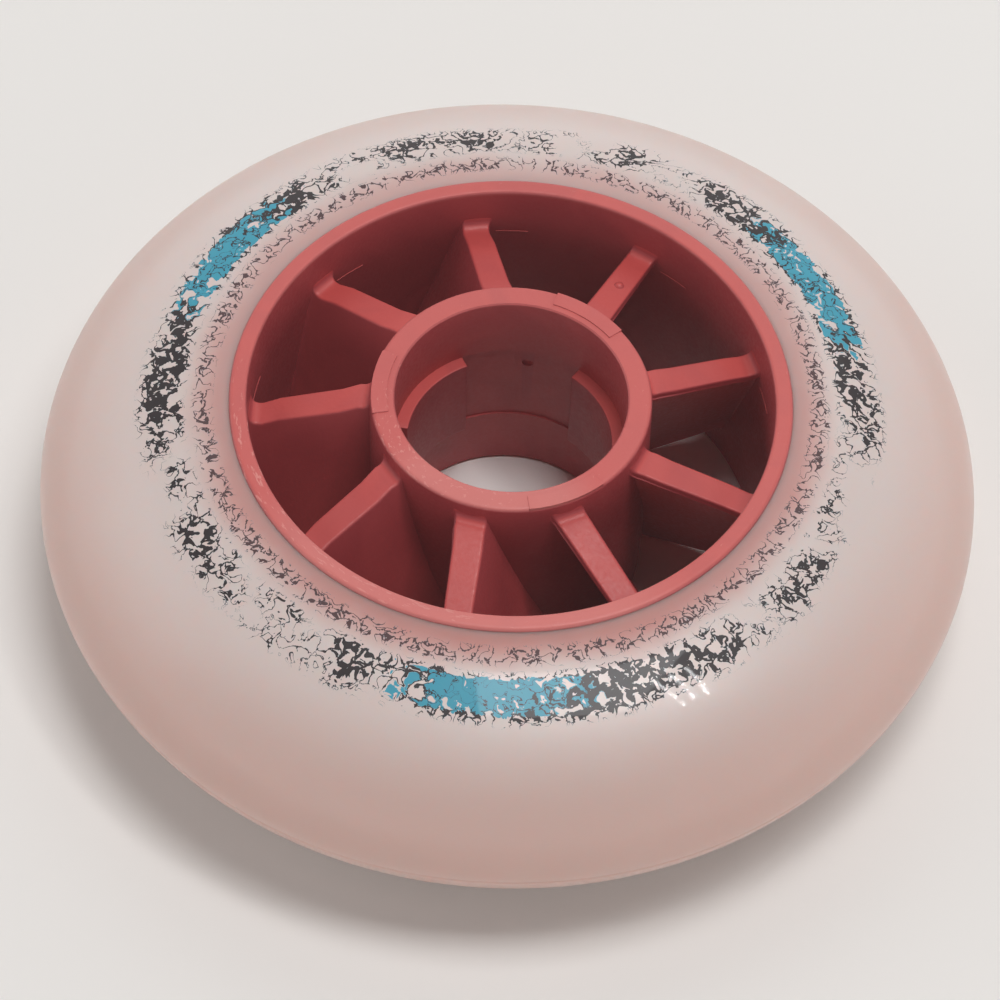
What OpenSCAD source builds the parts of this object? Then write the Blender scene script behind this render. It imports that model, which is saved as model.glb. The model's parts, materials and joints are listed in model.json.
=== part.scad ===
// Speed inline skate wheel: a cast urethane tyre locked onto a moulded nine-spoke core.
// The wheel lies flat, with its axle axis along Z and its centre at the origin. All sizes are millimetres.

/* [Tyre] */
// Diameter over the tread
wheel_d = 90; // [84:1:110]
// How far the tyre's edges lie below the rim's faces
tyre_step = 0.35; // [0.1:0.05:1.5]
// Shape of the tread's section: 2 is an ellipse, and less is more pointed
tread_power = 1.84; // [1.6:0.02:2.2]
// Points on each half of the tread's section
tread_steps = 18; // [12:1:30]
// Height of the parting groove from the mid-plane
seam_z = -0.8; // [-2:0.1:2]
// Depth of the parting groove
seam_depth = 0.15; // [0.05:0.01:0.3]
// Width of the parting groove
seam_w = 0.5; // [0.2:0.05:0.8]

/* [Rim] */
// Outside diameter of the rim, where the tyre is bonded to it
rim_d = 53; // [48:0.5:60]
// Thickness of the rim at its two faces
rim_t = 1.65; // [1.2:0.05:2.4]
// How far the rim's faces stand out past the sleeve's
rim_proud = 0.2; // [0:0.05:1]
// Chamfer on the edges of the rim
rim_edge = 0.3; // [0.1:0.05:0.5]
// How much the rim and the sleeve thicken from a face to the mid-plane, to leave the mould
draft = 0.25; // [0.05:0.05:0.5]

/* [Key flange] */
// How far the flange reaches from the rim into the tyre
key_reach = 3.8; // [3:0.1:6]
// Width of the flange at the rim
key_neck_w = 5; // [3:0.1:8]
// Width of the flange at its outer edge
key_head_w = 7; // [3:0.1:10]
// Holes in the flange, which the urethane fills
key_holes = 18; // [9:1:24]
// Diameter of those holes
key_hole_d = 2; // [1:0.1:2.6]

/* [Sleeve and bearing seats] */
// Width of the sleeve across its two faces
hub_w = 24.5; // [22:0.1:26]
// Outside diameter of the sleeve at its two faces
sleeve_d = 26.5; // [25:0.1:30]
// Chamfer on the outer edges of the sleeve
sleeve_edge = 0.3; // [0.1:0.05:0.6]
// Diameter of a bearing seat
seat_d = 22; // [19:0.1:23]
// Distance between the two bearings
bearing_gap = 10.25; // [8:0.05:12]
// Chamfer that leads a bearing into its seat
seat_lead = 0.15; // [0.1:0.05:0.4]
// Number of stops that part the two bearings
stop_n = 3; // [2:1:4]
// Arc of one stop, in degrees
stop_arc = 58; // [30:1:70]
// Height of a stop above the seat
stop_h = 1.2; // [0.6:0.1:2]
// How much deeper than a seat the wall lies between the stops
relief = 0.2; // [0.16:0.01:0.3]
// Direction of the first stop, in degrees
stop_phase = 25.5; // [0:0.5:120]
// Number of raised pads on the sleeve's upper face
pad_n = 3; // [1:1:5]
// Arc of a pad, in degrees
pad_arc = 33; // [15:1:60]
// Width of a pad
pad_w = 1.5; // [0.5:0.05:1.6]
// Height of a pad
pad_h = 0.12; // [0.05:0.01:0.2]
// Distance of a pad from the outside of the sleeve
pad_inset = 0.05; // [0.05:0.05:0.4]
// Direction of the first pad, in degrees
pad_phase = 55.7; // [0:0.1:120]
// Diameter of the gate mark in the wall between two stops
gate_d = 1.2; // [0.6:0.1:2]
// Depth of the gate mark
gate_depth = 0.3; // [0.1:0.05:0.6]
// Direction of the gate mark, in degrees
gate_phase = 82.7; // [70:0.1:100]
// Height of the gate mark above the mid-plane
gate_z = 3.1; // [-3:0.1:3.5]

/* [Spokes] */
// Number of spokes
spoke_n = 9; // [5:1:10]
// Thickness of a spoke at the sleeve
spoke_root_t = 2.9; // [2:0.05:4]
// Thickness of a spoke at the rim
spoke_tip_t = 2.6; // [2:0.05:4]
// How far a spoke's edges lie below the sleeve's faces at the sleeve
spoke_root_drop = 2.1; // [1.5:0.05:4]
// How far a spoke's edges lie below the rim's faces at the rim
spoke_tip_drop = 4.55; // [2:0.05:6]
// Lean of a spoke from upright, in degrees
spoke_lean = 20; // [0:0.5:24]
// How far a spoke's centreline passes from the axle at the mid-plane
spoke_offset = 2.72; // [0:0.01:4]
// Direction of the first spoke, in degrees
spoke_phase = 100.4; // [80:0.1:120]
// Fillet where a spoke's edges run into the sleeve and the rim
spoke_fillet = 0.8; // [0.3:0.05:1.2]
// Diameter of the ejector pip on one spoke, at its foot
pip_d = 1; // [0.6:0.1:1.5]
// Diameter of the pip at its top
pip_top_d = 0.6; // [0.3:0.1:1]
// Height of the pip
pip_h = 0.25; // [0.1:0.05:0.4]
// Distance of the pip from the sleeve
pip_run = 6; // [2:0.1:8]
// The spoke that carries the pip, counted from the first
pip_spoke = 8; // [0:1:8]

/* [Hidden] */
$fn = 144;
core_colour = [0.79, 0.42, 0.41];
tyre_colour = [0.84, 0.77, 0.75];
// Room by which a cutting solid passes the surface that it cuts
past = 1;

// Widths and heights, which all follow from the sleeve's width
hub_z = hub_w / 2;
rim_z = hub_z + rim_proud;
tyre_w = 2 * (rim_z - tyre_step);

// Radii of the rim, the flange and the tread
tread_r = wheel_d / 2;
rim_r = rim_d / 2;
rim_in_r = rim_r - rim_t;
rim_mid_r = rim_in_r - draft;
rim_wall_r = rim_r - rim_t / 2;
key_r = rim_r + key_reach;
key_hole_r = rim_r + key_reach / 2;

// Radii and heights of the sleeve and its bore
sleeve_r = sleeve_d / 2;
sleeve_mid_r = sleeve_r + draft;
seat_r = seat_d / 2;
seat_floor_z = bearing_gap / 2;
stop_r = seat_r - stop_h;
relief_r = seat_r + relief;
sleeve_wall_r = (relief_r + sleeve_r) / 2;
stop_pitch = 360 / stop_n;
pad_outer_r = sleeve_r - pad_inset;
pad_pitch = 360 / pad_n;

// A spoke runs along X. It leans, so that its upper edge passes the axle on one side
// and its lower edge on the other.
spoke_pitch = 360 / spoke_n;
root_z = hub_z - spoke_root_drop;
tip_z = rim_z - spoke_tip_drop;
root_x = wall_x(sleeve_r, root_z);
tip_x = wall_x(rim_in_r, tip_z);
root_low_x = wall_x(sleeve_r, -root_z);
tip_low_x = wall_x(rim_in_r, -tip_z);
fillet_steps = 6;
// How deep a fillet's foot lies in the wall that it runs into
fillet_sink = 0.1;

// Where a spoke's middle lies at height z, and where a wall of radius r is met there
function spoke_y(z) = spoke_offset - z * tan(spoke_lean);
function wall_x(r, z) = sqrt(pow(r, 2) - pow(spoke_y(z), 2));

// Thickness of a spoke at distance x along it, and the height of its upper edge there
function spoke_t(x) = spoke_root_t + (spoke_tip_t - spoke_root_t) * (x - root_x) / (tip_x - root_x);
function edge_z(x) = root_z + (tip_z - root_z) * (x - root_x) / (tip_x - root_x);

// Half-width of the tread's section at an angle from the side (0) to the tread (90), and its radius there
function tread_z(a) = tyre_w / 2 * pow(cos(a), 2 / tread_power);
function tread_x(a) = rim_r + (tread_r - rim_r) * pow(sin(a), 2 / tread_power);

// Radius of the tread at height z
function tread_at(z) =
    rim_r + (tread_r - rim_r) * pow(1 - pow(abs(2 * z / tyre_w), tread_power), 1 / tread_power);

// Fillet in a corner between an edge that runs to another point and an upright wall (up is 1 or -1).
// The points run from the edge to the wall.
function fillet_points(corner, other, up) =
    let (
        along = (other - corner) / norm(other - corner),
        half = acos(along[1] * up) / 2,
        middle = (along + [0, up]) / norm(along + [0, up]),
        centre = corner + middle * spoke_fillet / sin(half),
        from = corner + along * spoke_fillet / tan(half) - centre,
        to = corner + [0, up] * spoke_fillet / tan(half) - centre,
        start = atan2(from[1], from[0]),
        turn = (atan2(to[1], to[0]) - start + 900) % 360 - 180
    )
    [for (i = [0 : fillet_steps])
        let (a = start + turn * i / fillet_steps)
        centre + spoke_fillet * [cos(a), sin(a)]];
function reversed(list) = [for (i = [len(list) - 1 : -1 : 0]) list[i]];

// Section of the tyre, with the tread as one smooth curve from the rim round to the rim
module tyre_section() {
    step = 90 / tread_steps;
    upper = [for (i = [0 : tread_steps]) [tread_x(i * step), tread_z(i * step)]];
    lower = [for (i = [tread_steps - 1 : -1 : 0]) [tread_x(i * step), -tread_z(i * step)]];
    polygon(concat(upper, lower));
}

// Fine groove that the two halves of the mould leave round the tread
module parting_groove() {
    r = tread_at(seam_z);
    rotate_extrude()
        polygon([
            [r - seam_depth, seam_z],
            [r + past, seam_z - seam_w / 2 * (1 + past / seam_depth)],
            [r + past, seam_z + seam_w / 2 * (1 + past / seam_depth)]
        ]);
}

// Flange that stands out of the rim into the tyre, wider at its edge so that the tyre can't pull off
module key_flange() {
    difference() {
        rotate_extrude()
            polygon([
                [rim_wall_r, -key_neck_w / 2],
                [key_r, -key_head_w / 2],
                [key_r, key_head_w / 2],
                [rim_wall_r, key_neck_w / 2]
            ]);
        for (k = [0 : key_holes - 1])
            rotate([0, 0, k * 360 / key_holes])
                translate([key_hole_r, 0, 0])
                    cylinder(d = key_hole_d, h = key_head_w + 2 * past, center = true);
    }
}

// Thin rim wall, drawn in at the mid-plane and chamfered at its faces
module rim() {
    rotate_extrude()
        polygon([
            [rim_mid_r, 0],
            [rim_in_r, rim_z - rim_edge],
            [rim_in_r + rim_edge, rim_z],
            [rim_r - rim_edge, rim_z],
            [rim_r, rim_z - rim_edge],
            [rim_r, rim_edge - rim_z],
            [rim_r - rim_edge, -rim_z],
            [rim_in_r + rim_edge, -rim_z],
            [rim_in_r, rim_edge - rim_z]
        ]);
}

// Sleeve: chamfered outside, with a bearing seat and its lead-in at each end of the bore
module sleeve() {
    upper = [
        [relief_r, seat_floor_z],
        [seat_r, seat_floor_z],
        [seat_r, hub_z - seat_lead],
        [seat_r + seat_lead, hub_z],
        [sleeve_r - sleeve_edge, hub_z],
        [sleeve_r, hub_z - sleeve_edge],
        [sleeve_mid_r, 0]
    ];
    lower = [for (i = [len(upper) - 2 : -1 : 0]) [upper[i][0], -upper[i][1]]];
    rotate_extrude()
        polygon(concat(upper, lower));
}

// Stops that stand out of the bore's wall between the two seats
module stops() {
    for (k = [0 : stop_n - 1])
        rotate([0, 0, stop_phase - stop_arc / 2 + k * stop_pitch])
            rotate_extrude(angle = stop_arc)
                translate([stop_r, -seat_floor_z])
                    square([sleeve_wall_r - stop_r, bearing_gap]);
}

// Round gate mark in the wall of the bore
module gate_cut() {
    rotate([0, 0, gate_phase])
        translate([stop_r, 0, gate_z])
            rotate([0, 90, 0])
                cylinder(d = gate_d, h = relief_r + gate_depth - stop_r);
}

// Raised pads on the upper face, left by the mould's inserts
module face_pads() {
    for (k = [0 : pad_n - 1])
        rotate([0, 0, pad_phase - pad_arc / 2 + k * pad_pitch])
            rotate_extrude(angle = pad_arc)
                translate([pad_outer_r - pad_w, hub_z - past])
                    square([pad_w, pad_h + past]);
}

// Leaning slab that a spoke is cut from, a little thinner towards the rim
module spoke_slab() {
    squeeze = cos(spoke_lean) / 2;
    x0 = seat_r / 2;
    translate([0, spoke_offset, 0])
        rotate([spoke_lean, 0, 0])
            linear_extrude(height = 2 * hub_w, center = true)
                polygon([
                    [x0, -spoke_t(x0) * squeeze],
                    [rim_r, -spoke_t(rim_r) * squeeze],
                    [rim_r, spoke_t(rim_r) * squeeze],
                    [x0, spoke_t(x0) * squeeze]
                ]);
}

// Spoke seen from the side: lower at the rim than at the sleeve, with a fillet at each end of both edges
module spoke_side() {
    root = [root_x - fillet_sink, root_z];
    tip = [tip_x + fillet_sink, tip_z];
    root_low = [root_low_x - fillet_sink, -root_z];
    tip_low = [tip_low_x + fillet_sink, -tip_z];
    upper = concat(reversed(fillet_points(root, tip, 1)), fillet_points(tip, root, 1));
    lower = concat(reversed(fillet_points(tip_low, root_low, -1)), fillet_points(root_low, tip_low, -1));
    rotate([90, 0, 0])
        linear_extrude(height = 2 * sleeve_d, center = true)
            polygon(concat(
                [[0, upper[0][1]]],
                upper,
                [[rim_r, upper[len(upper) - 1][1]], [rim_r, lower[0][1]]],
                lower,
                [[0, lower[len(lower) - 1][1]]]
            ));
}

// Spoke, which starts inside the sleeve's wall and ends inside the rim's
module spoke() {
    difference() {
        intersection() {
            spoke_slab();
            spoke_side();
            cylinder(r = rim_wall_r, h = hub_w, center = true);
        }
        cylinder(r = sleeve_wall_r, h = hub_w + 2 * past, center = true);
    }
}

// Small round pip on the upper edge of one spoke
module ejector_pip() {
    x = root_x + pip_run;
    rotate([0, 0, spoke_phase + pip_spoke * spoke_pitch])
        translate([x, spoke_y(edge_z(x)), edge_z(x) - pip_d])
            cylinder(d1 = pip_d, d2 = pip_top_d, h = pip_d + pip_h);
}

module tyre() {
    color(tyre_colour)
        difference() {
            rotate_extrude() tyre_section();
            key_flange();
            parting_groove();
        }
}

module core() {
    color(core_colour)
        difference() {
            union() {
                sleeve();
                stops();
                face_pads();
                rim();
                key_flange();
                for (k = [0 : spoke_n - 1])
                    rotate([0, 0, spoke_phase + k * spoke_pitch]) spoke();
                ejector_pip();
            }
            gate_cut();
        }
}

tyre();
core();
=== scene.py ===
"""Speed inline skate wheel: a cast urethane tyre on a moulded nine-spoke core, lying flat on a pale table."""

import json
import math

import bmesh
import bpy
from bpy.props import FloatProperty, FloatVectorProperty, IntProperty, PointerProperty
from mathutils import Matrix, Quaternion, Vector


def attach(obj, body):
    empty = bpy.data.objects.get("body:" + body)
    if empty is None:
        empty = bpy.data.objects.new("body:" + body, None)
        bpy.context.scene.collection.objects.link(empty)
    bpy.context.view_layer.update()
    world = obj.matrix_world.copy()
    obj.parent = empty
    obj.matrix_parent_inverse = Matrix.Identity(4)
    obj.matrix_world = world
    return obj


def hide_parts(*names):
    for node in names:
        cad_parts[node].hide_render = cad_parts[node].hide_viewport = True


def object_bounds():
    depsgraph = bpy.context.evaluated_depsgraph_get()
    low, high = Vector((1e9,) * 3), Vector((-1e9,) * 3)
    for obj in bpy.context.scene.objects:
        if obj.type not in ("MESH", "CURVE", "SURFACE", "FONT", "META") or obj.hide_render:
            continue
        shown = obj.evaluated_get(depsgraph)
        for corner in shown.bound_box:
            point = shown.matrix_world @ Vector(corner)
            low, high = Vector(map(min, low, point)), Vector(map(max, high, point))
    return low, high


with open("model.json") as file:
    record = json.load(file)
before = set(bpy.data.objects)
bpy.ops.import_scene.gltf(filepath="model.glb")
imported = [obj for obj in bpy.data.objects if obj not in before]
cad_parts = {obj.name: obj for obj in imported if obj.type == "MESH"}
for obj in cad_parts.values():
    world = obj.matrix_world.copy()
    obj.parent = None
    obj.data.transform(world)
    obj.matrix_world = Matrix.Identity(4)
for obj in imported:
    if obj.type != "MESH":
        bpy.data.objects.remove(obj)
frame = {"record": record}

bl_info = {
    "name": "Inline Skate Wheel",
    "version": (1, 0, 0),
    "blender": (4, 5, 0),
    "location": "3D View > Sidebar > Wheel",
    "description": "Builds a urethane tyre, a nine-spoke core and a studio stage round the packed wheel",
    "category": "Object",
}

MM = 0.001
CAD_BOX = [list(corner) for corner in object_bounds()]
SEAT = next(m for m in frame["record"]["mounts"] if m["name"] == "upper_bearing_seat")

# Edges that bend by more than this stay sharp
CREASE = math.radians(35)
# Steps round the axle of the outer rings and of the sleeve
RING_STEPS = 256
SLEEVE_STEPS = 192
# Points on each half of the tread's section
TREAD_STEPS = 72
# The parting groove's section, as shares of its width and depth
GROOVE = [(-0.5, 0), (-0.4, 0.1), (-0.12, 0.9), (0, 1), (0.12, 0.9), (0.4, 0.1), (0.5, 0)]


def linear(code):
    """Turns an sRGB hex colour into the linear values that Blender works in."""
    parts = [int(code[i:i + 2], 16) / 255 for i in (1, 3, 5)]
    return tuple(p / 12.92 if p <= 0.04045 else ((p + 0.055) / 1.055) ** 2.4 for p in parts)


def length(name, description, default):
    """A size in metres, whose default is given in millimetres."""
    return FloatProperty(
        name=name, description=description, default=default * MM, unit="LENGTH", precision=5
    )


def angle(name, description, default):
    """An angle in radians, whose default is given in degrees."""
    return FloatProperty(name=name, description=description, default=math.radians(default), subtype="ANGLE")


def number(name, description, default, low, high):
    """A whole number between two limits."""
    return IntProperty(name=name, description=description, default=default, min=low, max=high)


def colour(name, description, code):
    """A colour, whose default is an sRGB hex value."""
    return FloatVectorProperty(
        name=name, description=description, subtype="COLOR", size=3, min=0, max=1, default=linear(code)
    )


class TyreSettings(bpy.types.PropertyGroup):
    """Sizes and colours of the urethane tyre."""

    wheel_d: length("Wheel diameter", "Diameter over the tread", -2 * CAD_BOX[0][0] / MM)
    width: length("Tyre width", "Width where the tyre meets the rim", 24.2)
    tread_power: FloatProperty(
        name="Tread shape",
        description="2 is an ellipse, and less is more pointed",
        default=1.84,
        min=1.6,
        max=2.2,
    )
    seam_z: length("Seam height", "Height of the parting groove from the mid-plane", -0.8)
    seam_depth: length("Seam depth", "Depth of the parting groove", 0.15)
    seam_w: length("Seam width", "Width of the parting groove", 0.5)
    milk: colour("Urethane", "Colour of the thick urethane", "#D7C9C5")
    blush: colour("Blush", "Urethane where the core shines through beside the rim", "#C58780")
    # Painted shade: the tread colour is a darker, warmer copy of the urethane
    tread: colour("Tread", "Urethane round the tread", "#CBABA2")
    ink_dark: colour("Dark ink", "Dark part of the rubbed print", "#30272A")
    ink_light: colour("Light ink", "Light part of the rubbed print", "#3F9DB4")
    ink_faint: colour("Faint ink", "Thin ink of the inner ring", "#553A3D")


class CoreSettings(bpy.types.PropertyGroup):
    """Sizes and colours of the moulded core."""

    rim_d: length("Rim diameter", "Outside diameter of the rim", 53)
    rim_t: length("Rim thickness", "Thickness of the rim at its faces", 1.65)
    rim_w: length("Rim width", "Width across the rim's faces", (CAD_BOX[1][2] - CAD_BOX[0][2]) / MM)
    key_reach: length("Flange reach", "How far the flange reaches into the tyre", 3.8)
    key_neck_w: length("Flange neck", "Width of the flange at the rim", 5)
    key_head_w: length("Flange head", "Width of the flange at its edge", 7)
    draft: length("Draft", "How much the walls thicken towards the mid-plane", 0.25)
    edge: length("Edge radius", "Rounding of the moulding's edges", 0.4)
    hub_w: length("Sleeve width", "Width across the sleeve's faces", 24.5)
    sleeve_d: length("Sleeve diameter", "Outside diameter of the sleeve at its faces", 26.5)
    seat_d: length("Seat diameter", "Diameter of a bearing seat", 2 * SEAT["dims"]["r_mm"])
    seat_lead: length("Seat lead-in", "Chamfer that leads a bearing into its seat", 0.15)
    bearing_gap: length("Bearing gap", "Distance between the two bearings", 10.25)
    relief: length("Relief", "How much deeper than a seat the wall lies between the stops", 0.2)
    stop_n: number("Stops", "Number of bearing stops", 3, 2, 4)
    stop_arc: angle("Stop arc", "Arc of one stop", 58)
    stop_h: length("Stop height", "Height of a stop above the seat", 1.2)
    stop_turn: angle("Stop direction", "Direction of the first stop", 25.5)
    gate_d: length("Gate mark", "Diameter of the gate mark between two stops", 1.2)
    gate_depth: length("Gate depth", "Depth of the gate mark", 0.3)
    gate_z: length("Gate height", "Height of the gate mark above the mid-plane", 3.1)
    gate_turn: angle("Gate direction", "Direction of the gate mark", 82.7)
    pad_n: number("Pads", "Number of pads on the upper face", 3, 1, 6)
    pad_arc: angle("Pad arc", "Arc of one pad", 33)
    pad_w: length("Pad width", "Width of a pad", 1.5)
    pad_h: length("Pad height", "Height of a pad above the face", 0.12)
    pad_inset: length("Pad inset", "Distance of a pad from the sleeve's outer edge", 0.05)
    pad_turn: angle("Pad direction", "Direction of the first pad", 55.7)
    spoke_n: number("Spokes", "Number of spokes", 9, 3, 12)
    root_t: length("Root thickness", "Thickness of a spoke at the sleeve", 2.9)
    tip_t: length("Tip thickness", "Thickness of a spoke at the rim", 2.6)
    root_h: length("Root height", "Height of a spoke at the sleeve", 20.3)
    tip_h: length("Tip height", "Height of a spoke at the rim", 15.8)
    lean: angle("Lean", "How far a spoke leans from upright", 20)
    offset: length("Offset", "How far a spoke passes from the axle at the mid-plane", 2.72)
    fillet: length("Fillet", "Fillet at both ends of a spoke", 0.8)
    spoke_edge: length("Open edge", "Rounding of the spoke's edge above the wall that faces up", 0.32)
    spoke_nip: length("Crisp edge", "Rounding of the spoke's edge above the wall that faces down", 0.2)
    spoke_land: length("Land", "Height of the upright land below the crisp edge", 0.6)
    flash: length("Flash", "How far the fin of flash stands out below the land", 0.1)
    spoke_turn: angle("Spoke direction", "Direction of the first spoke", 100.4)
    line_arc: angle("Line arc", "Arc of the flash line beside a spoke's tip", 7.5)
    line_drop: length("Line drop", "How far the flash line lies below the spoke's tip", 1.2)
    pip_d: length("Pip diameter", "Diameter of the ejector pip at its foot", 1)
    pip_top_d: length("Pip top", "Diameter of the ejector pip at its top", 0.6)
    pip_h: length("Pip height", "Height of the ejector pip", 0.25)
    pip_run: length("Pip distance", "Distance of the ejector pip from the sleeve", 6)
    pip_spoke: number("Pip spoke", "The spoke that carries the pip", 8, 0, 8)
    # Painted light and shade: the level colour is a lit copy of the wall colour, which makes level surfaces
    # paler and the walls darker
    plastic: colour("Plastic", "Colour of the moulded plastic on its walls", "#A93F43")
    plastic_deep: colour("Plastic, flow", "Darker plastic in the flow marks", "#A0383D")
    plastic_level_lit: colour("Plastic, level", "Plastic on level surfaces, which catch dust and wear", "#C54A46")
    # The rubbed colour also paints a dull paleness over the faces, strongest in front
    plastic_rub: colour("Plastic, rubbed", "Plastic where it is scuffed", "#D98A83")


class StageSettings(bpy.types.PropertyGroup):
    """Table and camera."""

    table: colour("Table", "Colour of the table", "#EFECE9")
    reach: length("Table reach", "Distance from the wheel to each edge of the table", 3000)
    focal: FloatProperty(
        name="Focal length", description="Lens in millimetres", default=130.22, min=20, max=300
    )
    distance: length("Camera distance", "Distance from the camera to the wheel's centre", 349.55)
    elevation: angle("Camera elevation", "Angle above the table", 53.98)
    roll: angle("Camera roll", "Turn about the view", 2.32)


def add_node(tree, kind, settings=None, inputs=None):
    """Adds a node, sets its settings, and fills its inputs with values or links them from sockets."""
    node = tree.nodes.new(kind)
    for name, value in (settings or {}).items():
        setattr(node, name, value)
    for socket, value in (inputs or {}).items():
        if isinstance(value, bpy.types.NodeSocket):
            tree.links.new(value, node.inputs[socket])
        else:
            node.inputs[socket].default_value = value
    return node


def calc(tree, operation, *values):
    """Result of one Math node on values or sockets."""
    return add_node(tree, "ShaderNodeMath", {"operation": operation}, dict(enumerate(values))).outputs[0]


def remap(tree, value, low, high, to_low=0.0, to_high=1.0, smooth=False):
    """Result of mapping a value from one range to another, held at the ends, and eased there if smooth."""
    return add_node(
        tree,
        "ShaderNodeMapRange",
        {"interpolation_type": "SMOOTHSTEP" if smooth else "LINEAR"},
        {"Value": value, "From Min": low, "From Max": high, "To Min": to_low, "To Max": to_high},
    ).outputs[0]


def noise(tree, place, size, detail, roughness=0.5, distortion=0.0):
    """Level of a noise whose waves are about as long as size, in the unit of the place."""
    return add_node(
        tree,
        "ShaderNodeTexNoise",
        inputs={
            "Vector": place,
            "Scale": 1 / size,
            "Detail": detail,
            "Roughness": roughness,
            "Distortion": distortion,
        },
    ).outputs["Fac"]


def blend(tree, share, first, second):
    """Mix of two colours, each a socket or linear red, green and blue."""
    ends = [c if isinstance(c, bpy.types.NodeSocket) else (*c, 1) for c in (first, second)]
    inputs = {"Factor": share, 6: ends[0], 7: ends[1]}
    return add_node(tree, "ShaderNodeMix", {"data_type": "RGBA"}, inputs).outputs[2]


def new_tree(name, sockets):
    """Starts a Geometry Nodes tree with a geometry input, the given inputs and a material."""
    tree = bpy.data.node_groups.new(name, "GeometryNodeTree")
    tree.is_modifier = True
    tree.interface.new_socket("Geometry", in_out="OUTPUT", socket_type="NodeSocketGeometry")
    tree.interface.new_socket("Shape", in_out="INPUT", socket_type="NodeSocketGeometry")
    for label, kind in sockets:
        tree.interface.new_socket(label, in_out="INPUT", socket_type=kind)
    tree.interface.new_socket("Material", in_out="INPUT", socket_type="NodeSocketMaterial")
    return tree, add_node(tree, "NodeGroupInput").outputs


def end_tree(tree, given, geometry):
    """Ends a tree: real geometry, smooth but for its sharp edges, with its level surfaces marked for the
    plastic's painted light, and with its material."""
    real = add_node(tree, "GeometryNodeRealizeInstances", inputs={"Geometry": geometry})
    smooth = add_node(tree, "GeometryNodeSetShadeSmooth", inputs={"Geometry": real.outputs[0]})
    bend = add_node(tree, "GeometryNodeInputMeshEdgeAngle")
    sharp = add_node(
        tree,
        "FunctionNodeCompare",
        {"data_type": "FLOAT", "operation": "GREATER_THAN"},
        {"A": bend.outputs["Unsigned Angle"], "B": CREASE},
    )
    creased = add_node(
        tree,
        "GeometryNodeSetShadeSmooth",
        {"domain": "EDGE"},
        {"Geometry": smooth.outputs[0], "Selection": sharp.outputs[0], "Shade Smooth": False},
    )
    normal = add_node(tree, "GeometryNodeInputNormal")
    upright = add_node(tree, "ShaderNodeSeparateXYZ", inputs={0: normal.outputs[0]})
    level = remap(tree, calc(tree, "ABSOLUTE", upright.outputs["Z"]), 0.55, 0.95, smooth=True)
    marked = add_node(
        tree,
        "GeometryNodeStoreNamedAttribute",
        {"data_type": "FLOAT", "domain": "POINT"},
        {"Geometry": creased.outputs[0], "Name": "level", "Value": level},
    )
    dressed = add_node(
        tree, "GeometryNodeSetMaterial", inputs={"Geometry": marked.outputs[0], "Material": given["Material"]}
    )
    add_node(tree, "NodeGroupOutput", inputs={"Geometry": dressed.outputs[0]})
    return tree


def revolve_tree():
    """A tree that turns a closed outline, drawn in X and Z, round the axle."""
    tree, given = new_tree("Revolve an outline", [("Segments", "NodeSocketInt")])
    size = add_node(
        tree, "GeometryNodeAttributeDomainSize", {"component": "MESH"}, {"Geometry": given["Shape"]}
    )
    points = size.outputs["Point Count"]
    grid = add_node(
        tree,
        "GeometryNodeMeshGrid",
        inputs={
            "Size X": 1.0,
            "Size Y": 1.0,
            "Vertices X": calc(tree, "ADD", given["Segments"], 1.0),
            "Vertices Y": calc(tree, "ADD", points, 1.0),
        },
    )
    place = add_node(tree, "GeometryNodeInputPosition").outputs[0]
    spot = add_node(tree, "ShaderNodeSeparateXYZ", inputs={0: place}).outputs

    # Across the grid lies the outline, point by point
    step = calc(tree, "MULTIPLY", calc(tree, "ADD", spot["Y"], 0.5), points)
    index = calc(tree, "MODULO", calc(tree, "ROUND", step), points)
    sample = add_node(
        tree,
        "GeometryNodeSampleIndex",
        {"data_type": "FLOAT_VECTOR", "domain": "POINT"},
        {"Geometry": given["Shape"], "Value": place, "Index": index},
    )
    drawn = add_node(tree, "ShaderNodeSeparateXYZ", inputs={0: sample.outputs[0]}).outputs

    # Along the grid lies one turn
    turn = calc(tree, "MULTIPLY_ADD", spot["X"], 2 * math.pi, math.pi)
    flat = add_node(tree, "ShaderNodeCombineXYZ", inputs={"X": drawn["X"], "Z": drawn["Z"]})
    swung = add_node(
        tree,
        "ShaderNodeVectorRotate",
        {"rotation_type": "Z_AXIS"},
        {"Vector": flat.outputs[0], "Angle": turn},
    )
    placed = add_node(
        tree,
        "GeometryNodeSetPosition",
        inputs={"Geometry": grid.outputs["Mesh"], "Position": swung.outputs[0]},
    )
    closed = add_node(
        tree, "GeometryNodeMergeByDistance", inputs={"Geometry": placed.outputs[0], "Distance": 1e-7}
    )
    return end_tree(tree, given, closed.outputs[0])


def ring_tree():
    """A tree that sets copies of one shape at even steps round the axle."""
    sockets = [("Copies", "NodeSocketInt"), ("First direction", "NodeSocketFloat")]
    tree, given = new_tree("Ring of copies", sockets)
    points = add_node(tree, "GeometryNodePoints", inputs={"Count": given["Copies"]})
    index = add_node(tree, "GeometryNodeInputIndex").outputs[0]
    pitch = calc(tree, "DIVIDE", 2 * math.pi, given["Copies"])
    turn = calc(tree, "MULTIPLY_ADD", index, pitch, given["First direction"])
    euler = add_node(tree, "ShaderNodeCombineXYZ", inputs={"Z": turn})
    rotation = add_node(tree, "FunctionNodeEulerToRotation", inputs={0: euler.outputs[0]})
    copies = add_node(
        tree,
        "GeometryNodeInstanceOnPoints",
        inputs={"Points": points.outputs[0], "Instance": given["Shape"], "Rotation": rotation.outputs[0]},
    )
    return end_tree(tree, given, copies.outputs[0])


def settle(obj, modifier):
    """Turns an object with a modifier into a plain mesh."""
    settled = obj.evaluated_get(bpy.context.evaluated_depsgraph_get())
    result = bpy.data.meshes.new_from_object(settled)
    result.name = obj.name
    obj.modifiers.remove(modifier)
    obj.data = result
    return result


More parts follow.
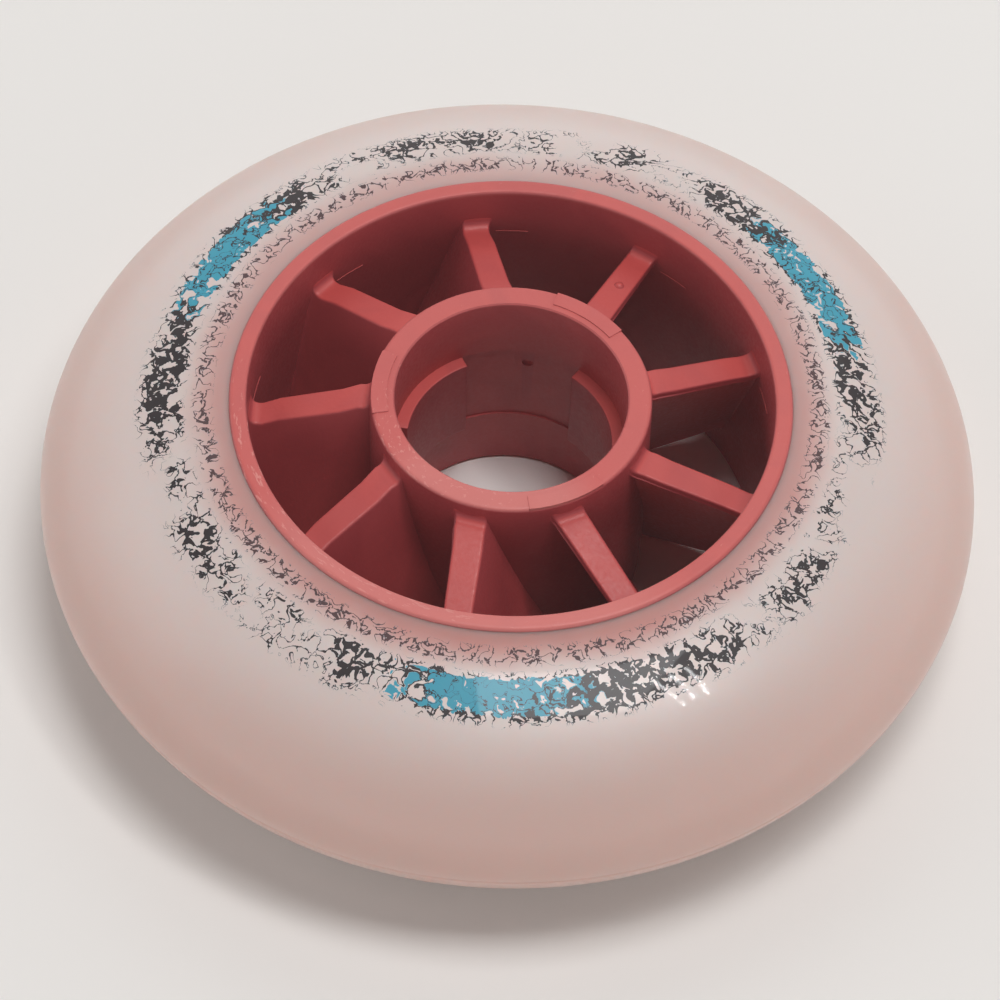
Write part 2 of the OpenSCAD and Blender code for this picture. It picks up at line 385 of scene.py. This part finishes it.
def grow(name, mesh, tree, material, **sizes):
    """Runs a tree on a mesh and returns an object that holds the result as a plain closed mesh."""
    obj = bpy.data.objects.new(name, mesh)
    bpy.context.scene.collection.objects.link(obj)
    modifier = obj.modifiers.new(tree.name, "NODES")
    modifier.node_group = tree
    wanted = dict(sizes, Material=material)
    for item in tree.interface.items_tree:
        if item.in_out == "INPUT" and item.name.replace(" ", "_") in wanted:
            modifier[item.identifier] = wanted[item.name.replace(" ", "_")]
    result = settle(obj, modifier)
    bpy.data.meshes.remove(mesh)
    shell = bmesh.new()
    shell.from_mesh(result)
    bmesh.ops.recalc_face_normals(shell, faces=shell.faces)
    shell.to_mesh(result)
    shell.free()
    return obj


def carve(obj, mesh):
    """Cuts a closed mesh out of an object, and keeps the edges of the cut sharp."""
    cutter = bpy.data.objects.new("cutter", mesh)
    bpy.context.scene.collection.objects.link(cutter)
    modifier = obj.modifiers.new("Cut", "BOOLEAN")
    modifier.object = cutter
    result = settle(obj, modifier)
    bpy.data.objects.remove(cutter)
    shell = bmesh.new()
    shell.from_mesh(result)
    for edge in shell.edges:
        edge.smooth = edge.calc_face_angle(0) < CREASE
    shell.to_mesh(result)
    shell.free()


def dress(obj, node):
    """Puts a finished piece on the wheel's body in place of its CAD node."""
    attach(obj, "root")
    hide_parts(node)
    return obj


def rounded(corners, steps=6):
    """Outline through corners of (x, z, radius). Each corner becomes an arc, with a point just before and
    just after it, so that the flats between the arcs stay flat under smooth shading."""
    margin = 1.5
    points = []
    for i, (x, z, radius) in enumerate(corners):
        corner = Vector((x, z))
        if not radius:
            points.append(corner)
            continue
        back = (Vector(corners[i - 1][:2]) - corner).normalized()
        ahead = (Vector(corners[(i + 1) % len(corners)][:2]) - corner).normalized()
        half = back.angle(ahead) / 2
        cut = radius / math.tan(half)
        centre = corner + (back + ahead).normalized() * radius / math.sin(half)
        start = corner + back * cut - centre
        sweep = start.angle_signed(corner + ahead * cut - centre)
        points.append(corner + back * cut * margin)
        for k in range(steps + 1):
            points.append(centre + Matrix.Rotation(-sweep * k / steps, 2) @ start)
        points.append(corner + ahead * cut * margin)
    return points


def outline_mesh(name, points):
    """Mesh of a closed outline, drawn in X and Z."""
    mesh = bpy.data.meshes.new(name)
    edges = [(i, (i + 1) % len(points)) for i in range(len(points))]
    mesh.from_pydata([(p[0], 0, p[1]) for p in points], edges, [])
    return mesh


def loft_mesh(name, sections):
    """Mesh of a closed skin over sections that have the same number of points, with both ends filled."""
    n = len(sections[0])
    verts = [point for section in sections for point in section]
    faces = [list(range(n))[::-1], list(range(len(verts) - n, len(verts)))]
    for k in range(len(sections) - 1):
        for i in range(n):
            j = (i + 1) % n
            faces.append([k * n + i, k * n + j, (k + 1) * n + j, (k + 1) * n + i])
    mesh = bpy.data.meshes.new(name)
    mesh.from_pydata(verts, [], faces)
    return mesh


def tyre_outline(tyre, core):
    """Section of the tyre: side and tread as one curve with its parting groove, and the wall that grips
    the core."""
    rim_r = core.rim_d / 2
    reach = tyre.wheel_d / 2 - rim_r
    power = 2 / tyre.tread_power

    def tread_r(z):
        share = abs(2 * z / tyre.width) ** tyre.tread_power
        return rim_r + reach * (1 - share) ** (1 / tyre.tread_power)

    points = []
    for i in range(2 * TREAD_STEPS + 1):
        a = math.pi * i / (2 * TREAD_STEPS)
        z = tyre.width / 2 * math.copysign(abs(math.cos(a)) ** power, math.cos(a))
        if abs(z - tyre.seam_z) > 0.7 * tyre.seam_w:
            points.append((rim_r + reach * math.sin(a) ** power, z))
    for share, depth in GROOVE:
        z = tyre.seam_z + share * tyre.seam_w
        points.append((tread_r(z) - depth * tyre.seam_depth, z))
    points.sort(key=lambda p: -p[1])
    neck, head, key_r = core.key_neck_w / 2, core.key_head_w / 2, rim_r + core.key_reach
    wall = [(rim_r, -neck), (key_r, -head), (key_r, head), (rim_r, neck)]
    return [Vector(p) for p in points + wall]


def rim_outline(core):
    """Section of the rim, with the flange that holds the tyre."""
    out_r = core.rim_d / 2
    in_r = out_r - core.rim_t
    top = core.rim_w / 2
    neck, head, key_r = core.key_neck_w / 2, core.key_head_w / 2, out_r + core.key_reach
    outer_edge, inner_edge = core.edge, core.edge * 0.75
    return rounded([
        (in_r - core.draft, 0, 0),
        (in_r, top, inner_edge),
        (out_r, top, outer_edge),
        (out_r, neck, 0),
        (key_r, head, 0),
        (key_r, -head, 0),
        (out_r, -neck, 0),
        (out_r, -top, outer_edge),
        (in_r, -top, inner_edge),
    ])


def sleeve_outline(core):
    """Section of the sleeve, with a bearing seat and its lead-in at each end."""
    out_r = core.sleeve_d / 2
    seat_r = core.seat_d / 2
    top = core.hub_w / 2
    floor = core.bearing_gap / 2
    lead = core.seat_lead
    upper = [
        (seat_r + core.relief, floor, 0),
        (seat_r, floor, 0),
        (seat_r, top - lead, 0.2 * lead),
        (seat_r + lead, top, 0.2 * lead),
        (out_r, top, core.edge),
    ]
    lower = [(x, -z, radius) for x, z, radius in reversed(upper)]
    return rounded(upper + [(out_r + core.draft, 0, 0)] + lower)


def spoke_y(core, z):
    """Sideways place of a spoke's middle at a height."""
    return core.offset - math.tan(core.lean) * z


def spoke_sections(core):
    """Sections of one leaning spoke along X, flared into the sleeve's wall and the rim's wall. The edge above
    the wall that faces up is well rounded. The edge above the wall that faces down is crisp, with an upright
    land and a fin of flash below it, which fades towards the rim."""
    sleeve_r = core.sleeve_d / 2
    rim_r = core.rim_d / 2 - core.rim_t
    half = core.rim_w / 2
    tilt = math.tan(core.lean)

    # A flare adds more to the spoke's height than to its width
    flare = core.fillet
    widen = 0.12

    # The fin of flash is gone before the rim, but for a trace
    fade, trace = 1.3, 0.05

    # Each station is a share of the way out and a shift along X. The ends lie inside the walls.
    sunk, past = -0.6 * flare, 1.5 * flare
    arc = [flare * (1 - math.cos(math.radians(a))) for a in (0, 22, 40, 56, 70, 80, 90)]
    stations = [(0, d) for d in [sunk] + arc + [past]]
    stations += [(0.25, 0), (0.5, 0), (0.75, 0)]
    stations += [(1, -d) for d in [past] + arc[::-1] + [sunk]]
    sections = []
    for share, shift in stations:
        near = min(abs(shift), flare) if share in (0, 1) else flare
        inside = share == 0 and shift < 0 or share == 1 and shift > 0
        swell = flare if inside else flare - math.sqrt(flare ** 2 - (flare - near) ** 2)
        w = (core.root_t + (core.tip_t - core.root_t) * share) / 2 + widen * swell
        z = (core.root_h + (core.tip_h - core.root_h) * share) / 2 + swell
        fin = core.flash * max(trace, 1 - fade * share)
        shoulder = z - core.spoke_land
        upper = [
            (w - tilt * z, z, core.spoke_edge),
            (-w - tilt * z, z, core.spoke_nip),
            (-w - tilt * z, shoulder, 0),
            (-w - tilt * z - fin, shoulder - 0.6 * core.flash, 0),
            (-w - tilt * z - fin, shoulder - 1.2 * core.flash, 0),
            (-w - tilt * (shoulder - 2 * core.flash), shoulder - 2 * core.flash, 0),
        ]
        lower = [(-v, -up, radius) for v, up, radius in upper]
        section = []
        for v, up in rounded(upper + lower, 5):
            y = core.offset + v
            drawn = core.draft * (1 - abs(up) / half)
            x_root = math.sqrt((sleeve_r + drawn) ** 2 - y ** 2)
            x_tip = math.sqrt((rim_r - drawn) ** 2 - y ** 2)
            section.append((x_root + (x_tip - x_root) * share + shift, y, up))
        sections.append(section)
    return sections


def round_sections(steps, turns=24):
    """Sections of a round peg along Z, from pairs of height and radius."""
    angles = [2 * math.pi * k / turns for k in range(turns)]
    return [[(r * math.cos(a), r * math.sin(a), z) for a in angles] for z, r in steps]


def pip_sections(core):
    """Sections of the ejector pip on the upper edge of one spoke, in that spoke's own direction."""
    sleeve_r = core.sleeve_d / 2
    rim_r = core.rim_d / 2 - core.rim_t
    share = core.pip_run / (rim_r - sleeve_r)
    top = (core.root_h + (core.tip_h - core.root_h) * share) / 2
    place = Vector((sleeve_r + core.pip_run, spoke_y(core, top), top))
    foot, crown = core.pip_d / 2, core.pip_top_d / 2
    steps = [(-core.pip_d, foot), (0, foot), (0.7 * core.pip_h, crown), (core.pip_h, 0.6 * crown)]
    return [[place + Vector(point) for point in section] for section in round_sections(steps)]


def arc_sections(inner, outer, bottom, top, arc, edge):
    """Sections of a curved block about the axle, with all its edges rounded."""
    middle = (inner + outer) / 2
    pitch = math.radians(4)
    turns = (math.pi / 2, 1.05, 0.5, 0)
    ends = [(edge * (1 - math.sin(a)), edge * (1 - math.cos(a))) for a in turns]
    count = max(6, round(arc / pitch))
    stations = [(-arc / 2 + run / middle, inset) for run, inset in ends]
    stations += [(arc * (k / count - 0.5), 0) for k in range(1, count)]
    stations += [(arc / 2 - run / middle, inset) for run, inset in reversed(ends)]
    sections = []
    for a, inset in stations:
        radius = max(edge - inset, 0.1 * edge)
        r0, r1, z0, z1 = inner + inset, outer - inset, bottom + inset, top - inset
        corners = [(r1, z0, radius), (r1, z1, radius), (r0, z1, radius), (r0, z0, radius)]
        sections.append([(r * math.cos(a), r * math.sin(a), z) for r, z in rounded(corners, 4)])
    return sections


def new_material(name):
    """Starts a material with an empty tree."""
    material = bpy.data.materials.new(name)
    material.use_nodes = True
    material.node_tree.nodes.clear()
    return material, material.node_tree


def end_material(material, **looks):
    """Ends a material with one shader. Each look is named for its input, with _ for a space."""
    tree = material.node_tree
    inputs = {name.replace("_", " "): value for name, value in looks.items()}
    shader = add_node(tree, "ShaderNodeBsdfPrincipled", inputs=inputs)
    add_node(tree, "ShaderNodeOutputMaterial", inputs={"Surface": shader.outputs[0]})
    return material


def polar(tree):
    """Place on the wheel in millimetres, its height, its distance from the axle and its direction."""
    place = add_node(tree, "ShaderNodeTexCoord").outputs["Object"]
    scale = {0: place, "Scale": 1 / MM}
    mm = add_node(tree, "ShaderNodeVectorMath", {"operation": "SCALE"}, scale).outputs[0]
    spot = add_node(tree, "ShaderNodeSeparateXYZ", inputs={0: mm}).outputs
    plan = add_node(tree, "ShaderNodeCombineXYZ", inputs={"X": spot["X"], "Y": spot["Y"]}).outputs[0]
    radius = add_node(tree, "ShaderNodeVectorMath", {"operation": "LENGTH"}, {0: plan}).outputs["Value"]
    return mm, spot["Z"], radius, calc(tree, "ARCTAN2", spot["Y"], spot["X"])


def bumpy(tree, height, strength, distance):
    """Normal of a skin with a height pattern of so many millimetres."""
    inputs = {"Strength": strength, "Distance": distance * MM, "Height": height}
    return add_node(tree, "ShaderNodeBump", inputs=inputs).outputs[0]


def cast_urethane(tyre):
    """Cast polyurethane from a polished mould. It is milky, so light wanders about in it and softens the
    shading, the core blushes through beside the rim, and a glossy skin carries a print that is rubbed into
    specks."""
    material, tree = new_material("cast_polyurethane")
    mm, _, radius, direction = polar(tree)

    # Thick urethane is milky; round the tread it is painted darker and warmer, as painted shade. These and
    # later distances are in millimetres.
    milky_to, shade_from = 34.0, 45.0
    outward = remap(tree, radius, milky_to, shade_from, smooth=True)
    body = blend(tree, outward, tyre.milk, tyre.tread)

    # The core blushes through thin urethane beside the rim, in clouds, most of all in front
    cloud_size, cloud_reach = 9, 3.0
    blush_end, blush_full = 33.0, 28.6
    front_share, back_share = 1.0, 0.6
    cloud = noise(tree, mm, cloud_size, 3.0, 0.55)
    bleed = calc(tree, "MULTIPLY_ADD", cloud, cloud_reach, radius)
    thin = remap(tree, bleed, blush_end, blush_full, smooth=True)
    strength = remap(tree, calc(tree, "SINE", direction), -1.0, 1.0, front_share, back_share)
    tint = blend(tree, calc(tree, "MULTIPLY", thin, strength), body, tyre.blush)

    # Print: a ring worn into veins, which lie where the grain is near its middle, and heavier in three places
    wear_size, vein_size = 6, 1.1
    ring_start, ring_full, ring_fade, ring_end = 30.2, 31.6, 33.6, 35.8
    heavy_n, heavy_turn = 3, 1.26
    fine, broad = 0.036, 0.08
    wear = noise(tree, mm, wear_size, 2.0)
    grain = noise(tree, mm, vein_size, 3.0, 0.5, 0.6)
    vein = calc(tree, "ABSOLUTE", calc(tree, "SUBTRACT", grain, 0.5))
    rise = remap(tree, radius, ring_start, ring_full, smooth=True)
    fall = remap(tree, radius, ring_end, ring_fade, smooth=True)
    band = calc(tree, "MULTIPLY", rise, fall)
    third = calc(tree, "MULTIPLY_ADD", direction, heavy_n / (2 * math.pi), heavy_turn)
    swing = calc(tree, "PINGPONG", third, 0.5)
    heavy = remap(tree, swing, 0.05, 0.45, fine, broad, smooth=True)
    rubbed = calc(tree, "MULTIPLY_ADD", wear, 0.3, -0.15)
    outer = calc(tree, "MULTIPLY", calc(tree, "ADD", heavy, rubbed), band)

    # A fainter ring of fine veins lies inside it
    faint_r, faint_end, faint_full = 29.0, 1.2, 0.5
    off_ring = calc(tree, "ABSOLUTE", calc(tree, "SUBTRACT", radius, faint_r))
    inner = remap(tree, off_ring, faint_end, faint_full, 0.0, fine)
    limit = calc(tree, "MAXIMUM", outer, inner)

    # A ragged light patch lies in each heavy place, and thins the veins there
    patch_place, patch_half, fraying = 0.66, 0.1, 0.3
    ragged = calc(tree, "MULTIPLY_ADD", grain, fraying, calc(tree, "FRACT", third))
    off_patch = calc(tree, "ABSOLUTE", calc(tree, "SUBTRACT", ragged, patch_place))
    patch = remap(tree, off_patch, patch_half + 0.005, patch_half)
    whole = remap(tree, calc(tree, "MULTIPLY", band, grain), 0.36, 0.37)
    light = calc(tree, "MULTIPLY", patch, whole)
    thinned = calc(tree, "MULTIPLY", limit, remap(tree, light, 0.0, 1.0, 1.0, 0.3))

    # The faint ring has thinner ink than the outer ring
    faint_to, full_from = 29.8, 30.8
    dark = remap(tree, calc(tree, "SUBTRACT", thinned, vein), 0.0, 0.008)
    ink = calc(tree, "MAXIMUM", dark, light)
    dark_ink = blend(tree, remap(tree, radius, faint_to, full_from), tyre.ink_faint, tyre.ink_dark)
    paint = blend(tree, dark, tyre.ink_light, dark_ink)
    skin = blend(tree, ink, tint, paint)

    # The skin ripples as the mould did, and ink is raised and duller than bare urethane
    ripple_size, ink_height, ink_dullness = 2.2, 0.15, 0.18
    dull = remap(tree, wear, 0.0, 1.0, 0.26, 0.42)
    ripple = noise(tree, mm, ripple_size, 2.0)
    height = calc(tree, "MULTIPLY_ADD", ink, ink_height, ripple)
    return end_material(
        material,
        Base_Color=skin,
        Roughness=calc(tree, "MULTIPLY_ADD", ink, ink_dullness, dull),
        Normal=bumpy(tree, height, 0.12, 0.1),
        IOR=1.5,
        Coat_Weight=0.2,
        Coat_Roughness=0.04,
        Subsurface_Weight=0.8,
        Subsurface_Radius=(1.0, 0.55, 0.45),
        Subsurface_Scale=6 * MM,
    )


def moulded_plastic(core):
    """Glass-filled nylon from a spark-eroded mould: a dense coral red, satin, with faint flow marks, a fine
    grit, pale scuffs where the upper faces have been rubbed, and a dull paleness on the faces, strongest in
    front.
    Level surfaces are painted paler as painted light, and the walls darker as painted shade. A trace of
    painted glow stands for the haze that a bright table lays over the dark windows."""
    material, tree = new_material("moulded_nylon")
    mm, z, radius, direction = polar(tree)

    # Flow marks are a shade deeper
    flow_size = 9
    flow = remap(tree, noise(tree, mm, flow_size, 4.0, distortion=1.2), 0.38, 0.66)
    body = blend(tree, flow, core.plastic, core.plastic_deep)

    # Painted light: level surfaces are painted paler, less so in the flow marks
    level = add_node(tree, "ShaderNodeAttribute", {"attribute_name": "level"}).outputs["Fac"]
    lit_share = calc(tree, "MULTIPLY", level, calc(tree, "MULTIPLY_ADD", flow, -0.3, 1.0))
    shell = blend(tree, lit_share, body, core.plastic_level_lit)

    # Scuffs on the upper and lower faces: scratches drawn out round the axle, thickest on one side, over
    # a dull paleness that is strongest in front
    face_from, face_full = 11.9, 12.2
    scratched_side, pale_front = math.radians(128), math.radians(100)
    scratch_size, stretch = 0.35, 6.0
    pale_least, pale_most, scratch_most = 0.18, 0.5, 0.8
    face = remap(tree, calc(tree, "ABSOLUTE", z), face_from, face_full)
    side = calc(tree, "COSINE", calc(tree, "ADD", direction, scratched_side))
    along = calc(tree, "MULTIPLY", direction, stretch)
    ring = add_node(tree, "ShaderNodeCombineXYZ", inputs={"X": radius, "Y": along, "Z": z}).outputs[0]
    specks = noise(tree, ring, scratch_size, 4.0, 0.65)
    raised = calc(tree, "ADD", specks, remap(tree, side, 0.3, 1.0, 0.0, 0.13))
    front = calc(tree, "COSINE", calc(tree, "ADD", direction, pale_front))
    paled = remap(tree, front, 0.6, 0.88, pale_least, pale_most, smooth=True)
    scratched_and_paled = calc(tree, "MAXIMUM", remap(tree, raised, 0.66, 0.74, 0.0, scratch_most), paled)
    face_marks = calc(tree, "MULTIPLY", scratched_and_paled, face)
    skin = blend(tree, face_marks, shell, core.plastic_rub)

    # The grit of a spark-eroded mould is near 0.05 mm; it is drawn at 0.35 mm so that it shows
    grit_size, mark_height = 0.35, 1.5
    grit = noise(tree, mm, grit_size, 2.0)
    height = calc(tree, "MULTIPLY_ADD", face_marks, mark_height, grit)
    return end_material(
        material,
        Base_Color=skin,
        Roughness=remap(tree, grit, 0.3, 0.7, 0.42, 0.56),
        Normal=bumpy(tree, height, 0.25, 0.06),
        IOR=1.55,
        # Painted glow: a faint emission lifts the shade in the dark windows
        Emission_Color=(1, 0.95, 0.95, 1),
        Emission_Strength=0.01,
    )


def matt_table(stage):
    """Matt painted board: pale, slightly warm, without gloss, and mottled in its dullness. The mottle is
    measured in metres."""
    material, tree = new_material("painted_board")
    place = add_node(tree, "ShaderNodeTexCoord").outputs["Object"]
    mottle_size = 1 / 12
    return end_material(
        material,
        Base_Color=(*stage.table, 1),
        Roughness=remap(tree, noise(tree, place, mottle_size, 3.0), 0.0, 1.0, 0.75, 0.9),
        Specular_IOR_Level=0.2,
    )


def shared(name, make, *given):
    """A material or a tree that is made once and then found by its name."""
    for store in (bpy.data.materials, bpy.data.node_groups):
        if name in store:
            return store[name]
    return make(*given)


def grow_core(context, name, mesh, **sizes):
    """Grows a piece of the core: a revolved outline if it is given segments, or else a ring of copies."""
    if "Segments" in sizes:
        tree = shared("Revolve an outline", revolve_tree)
    else:
        tree = shared("Ring of copies", ring_tree)
    plastic = shared("moulded_nylon", moulded_plastic, context.scene.wheel_core)
    return grow(name, mesh, tree, plastic, **sizes)


class WHEEL_OT_tyre(bpy.types.Operator):
    """Make the urethane tyre"""

    bl_idname = "wheel.tyre"
    bl_label = "Tyre"

    def execute(self, context):
        tyre, core = context.scene.wheel_tyre, context.scene.wheel_core
        outline = outline_mesh("tyre_outline", tyre_outline(tyre, core))
        tree = shared("Revolve an outline", revolve_tree)
        urethane = shared("cast_polyurethane", cast_urethane, tyre)
        dress(grow("tyre_urethane", outline, tree, urethane, Segments=RING_STEPS), "tyre")
        return {"FINISHED"}


class WHEEL_OT_rim(bpy.types.Operator):
    """Make the rim with its key flange"""

    bl_idname = "wheel.rim"
    bl_label = "Rim"

    def execute(self, context):
        outline = outline_mesh("rim_outline", rim_outline(context.scene.wheel_core))
        dress(grow_core(context, "core_rim", outline, Segments=RING_STEPS), "core")
        return {"FINISHED"}


class WHEEL_OT_sleeve(bpy.types.Operator):
    """Make the sleeve with its two bearing seats and its gate mark"""

    bl_idname = "wheel.sleeve"
    bl_label = "Sleeve"

    def execute(self, context):
        core = context.scene.wheel_core
        outline = outline_mesh("sleeve_outline", sleeve_outline(core))
        sleeve = grow_core(context, "core_sleeve", outline, Segments=SLEEVE_STEPS)
        wall = core.seat_d / 2 + core.relief
        gate = loft_mesh("gate", round_sections([
            (wall - core.gate_d, core.gate_d / 2),
            (wall + 0.7 * core.gate_depth, 0.45 * core.gate_d),
            (wall + core.gate_depth, 0.2 * core.gate_d),
        ]))
        lie = Matrix.Rotation(math.pi / 2, 4, "Y")
        rise = Matrix.Translation((0, 0, core.gate_z))
        gate.transform(Matrix.Rotation(core.gate_turn, 4, "Z") @ rise @ lie)
        gate.materials.append(shared("moulded_nylon", moulded_plastic, core))
        carve(sleeve, gate)
        dress(sleeve, "core")
        return {"FINISHED"}


class WHEEL_OT_spokes(bpy.types.Operator):
    """Make the ring of spokes"""

    bl_idname = "wheel.spokes"
    bl_label = "Spokes"

    def execute(self, context):
        core = context.scene.wheel_core
        spoke = loft_mesh("spoke", spoke_sections(core))
        sizes = {"Copies": core.spoke_n, "First_direction": core.spoke_turn}
        dress(grow_core(context, "core_spokes", spoke, **sizes), "core")
        return {"FINISHED"}


class WHEEL_OT_stops(bpy.types.Operator):
    """Make the stops that part the two bearings"""

    bl_idname = "wheel.stops"
    bl_label = "Bearing stops"

    def execute(self, context):
        core = context.scene.wheel_core
        seat_r = core.seat_d / 2
        floor = core.bearing_gap / 2
        sunk = seat_r + (core.sleeve_d / 2 - seat_r) / 2
        edge = 0.3 * core.edge
        sections = arc_sections(seat_r - core.stop_h, sunk, -floor, floor, core.stop_arc, edge)
        sizes = {"Copies": core.stop_n, "First_direction": core.stop_turn}
        dress(grow_core(context, "core_stops", loft_mesh("stop", sections), **sizes), "core")
        return {"FINISHED"}


class WHEEL_OT_pads(bpy.types.Operator):
    """Make the raised pads on the sleeve's upper face"""

    bl_idname = "wheel.pads"
    bl_label = "Face pads"

    def execute(self, context):
        core = context.scene.wheel_core
        outer = core.sleeve_d / 2 - core.pad_inset
        face = core.hub_w / 2
        edge = 0.3 * core.pad_h
        sections = arc_sections(
            outer - core.pad_w, outer, face - core.pad_w, face + core.pad_h, core.pad_arc, edge
        )
        sizes = {"Copies": core.pad_n, "First_direction": core.pad_turn}
        dress(grow_core(context, "core_pads", loft_mesh("pad", sections), **sizes), "core")
        return {"FINISHED"}


class WHEEL_OT_lines(bpy.types.Operator):
    """Make the flash lines on the rim's wall beside the spokes' tips"""

    bl_idname = "wheel.lines"
    bl_label = "Flash lines"

    def execute(self, context):
        core = context.scene.wheel_core
        z = core.tip_h / 2 - core.line_drop
        wall = core.rim_d / 2 - core.rim_t - core.draft * (1 - 2 * z / core.rim_w)
        thin = 0.6 * core.flash
        sunk = wall + core.rim_t / 3
        line = loft_mesh(
            "line", arc_sections(wall - thin, sunk, z - thin, z + thin, core.line_arc, 0.4 * thin)
        )
        start = (spoke_y(core, z) - core.tip_t / 2 - core.line_drop) / wall
        sizes = {"Copies": core.spoke_n, "First_direction": core.spoke_turn + start - core.line_arc / 2}
        dress(grow_core(context, "core_flash_lines", line, **sizes), "core")
        return {"FINISHED"}


class WHEEL_OT_pip(bpy.types.Operator):
    """Make the ejector pip on one spoke"""

    bl_idname = "wheel.pip"
    bl_label = "Ejector pip"

    def execute(self, context):
        core = context.scene.wheel_core
        turn = core.spoke_turn + core.pip_spoke * 2 * math.pi / core.spoke_n
        pip = loft_mesh("pip", pip_sections(core))
        dress(grow_core(context, "core_pip", pip, Copies=1, First_direction=turn), "core")
        return {"FINISHED"}


def lay_table(scene, stage):
    """A plain table under the wheel."""
    mesh = bpy.data.meshes.new("table")
    floor = CAD_BOX[0][2]
    corners = [(x * stage.reach, y * stage.reach, floor) for x, y in ((-1, -1), (1, -1), (1, 1), (-1, 1))]
    mesh.from_pydata(corners, [], [[0, 1, 2, 3]])
    table = bpy.data.objects.new("table", mesh)
    scene.collection.objects.link(table)
    mesh.materials.append(matt_table(stage))


def light_room(scene):
    """A soft room, bright round the horizon, with a pale wall behind, a window on the left and lamps in the
    ceiling."""
    world = bpy.data.worlds.new("soft_room")
    scene.world = world
    world.use_nodes = True
    tree = world.node_tree
    tree.nodes.clear()
    way = add_node(tree, "ShaderNodeTexCoord").outputs["Generated"]
    height = add_node(tree, "ShaderNodeSeparateXYZ", inputs={0: way}).outputs["Z"]
    horizon_glow, upper_glow, upper_from = 1.4, 0.12, 0.7
    glow = remap(tree, height, 0.0, upper_from, horizon_glow, upper_glow)
    warm_white = (1, 0.993, 0.983, 1)
    sky = add_node(tree, "ShaderNodeBackground", inputs={"Color": warm_white, "Strength": glow})
    add_node(tree, "ShaderNodeOutputWorld", inputs={"Surface": sky.outputs[0]})

    # Name, place, width and depth in metres, power in watts, turn in degrees
    lamps = [
        ("bright_wall", (0.1, 0.9, 1.1), 1.2, 0.7, 2.8, 0),
        ("window", (-1.1, 0.1, 0.7), 0.6, 0.8, 1.2, 0),
        ("ceiling_panel", (0.13, 0.0, 1.0), 0.34, 0.34, 4.0, 0),
    ]
    for k in range(3):
        place = (0.375 + 0.03 * k, 0.023 * k - 0.093, 1.0)
        lamps.append((f"ceiling_strip_{k}", place, 0.006, 0.264, 0.45, 37))
    for name, place, width, depth, power, turn in lamps:
        lamp = bpy.data.lights.new(name, "AREA")
        lamp.shape = "RECTANGLE"
        lamp.size, lamp.size_y, lamp.energy = width, depth, power
        holder = bpy.data.objects.new(name, lamp)
        holder.location = place
        aim = Vector((0, 0, -1)).rotation_difference(-Vector(place))
        holder.rotation_euler = (aim @ Quaternion((0, 0, 1), math.radians(turn))).to_euler()
        scene.collection.objects.link(holder)


def set_camera(scene, stage):
    """A long lens in front of the wheel, aimed a little in front of its centre."""
    away = Vector((0, -math.cos(stage.elevation), math.sin(stage.elevation))) * stage.distance
    target = Vector((-0.663, -3.316, 0)) * MM
    ahead = (target - away).normalized()
    level = ahead.cross(Vector((0, 0, 1))).normalized()
    turn = Matrix((level, level.cross(ahead), -ahead)).transposed() @ Matrix.Rotation(stage.roll, 3, "Z")
    lens = bpy.data.cameras.new("camera")
    lens.lens, lens.sensor_width = stage.focal, 36
    lens.clip_start, lens.clip_end = 0.01, 20
    camera = bpy.data.objects.new("camera", lens)
    camera.matrix_world = Matrix.Translation(away) @ turn.to_4x4()
    scene.collection.objects.link(camera)
    scene.camera = camera
    scene.view_settings.view_transform = "Standard"


class WHEEL_OT_stage(bpy.types.Operator):
    """Make the table, the lamps and the camera"""

    bl_idname = "wheel.stage"
    bl_label = "Stage"

    def execute(self, context):
        scene = context.scene
        lay_table(scene, scene.wheel_stage)
        light_room(scene)
        set_camera(scene, scene.wheel_stage)
        return {"FINISHED"}


class WHEEL_PT_panel(bpy.types.Panel):
    """Sizes, colours and pieces of the wheel"""

    bl_idname = "WHEEL_PT_panel"
    bl_label = "Inline Skate Wheel"
    bl_space_type = "VIEW_3D"
    bl_region_type = "UI"
    bl_category = "Wheel"

    def draw(self, context):
        for piece in PIECES:
            self.layout.operator(piece.bl_idname)
        for group in (context.scene.wheel_tyre, context.scene.wheel_core, context.scene.wheel_stage):
            box = self.layout.box()
            for name in group.__annotations__:
                box.prop(group, name)


PIECES = (
    WHEEL_OT_tyre,
    WHEEL_OT_rim,
    WHEEL_OT_sleeve,
    WHEEL_OT_spokes,
    WHEEL_OT_stops,
    WHEEL_OT_pads,
    WHEEL_OT_lines,
    WHEEL_OT_pip,
    WHEEL_OT_stage,
)
CLASSES = (TyreSettings, CoreSettings, StageSettings, *PIECES, WHEEL_PT_panel)


def register():
    for cls in CLASSES:
        bpy.utils.register_class(cls)
    bpy.types.Scene.wheel_tyre = PointerProperty(type=TyreSettings)
    bpy.types.Scene.wheel_core = PointerProperty(type=CoreSettings)
    bpy.types.Scene.wheel_stage = PointerProperty(type=StageSettings)


def unregister():
    del bpy.types.Scene.wheel_tyre, bpy.types.Scene.wheel_core, bpy.types.Scene.wheel_stage
    for cls in reversed(CLASSES):
        bpy.utils.unregister_class(cls)


def main():
    register()
    for piece in PIECES:
        group, name = piece.bl_idname.split(".")
        getattr(getattr(bpy.ops, group), name)()


if __name__ == "__main__":
    main()
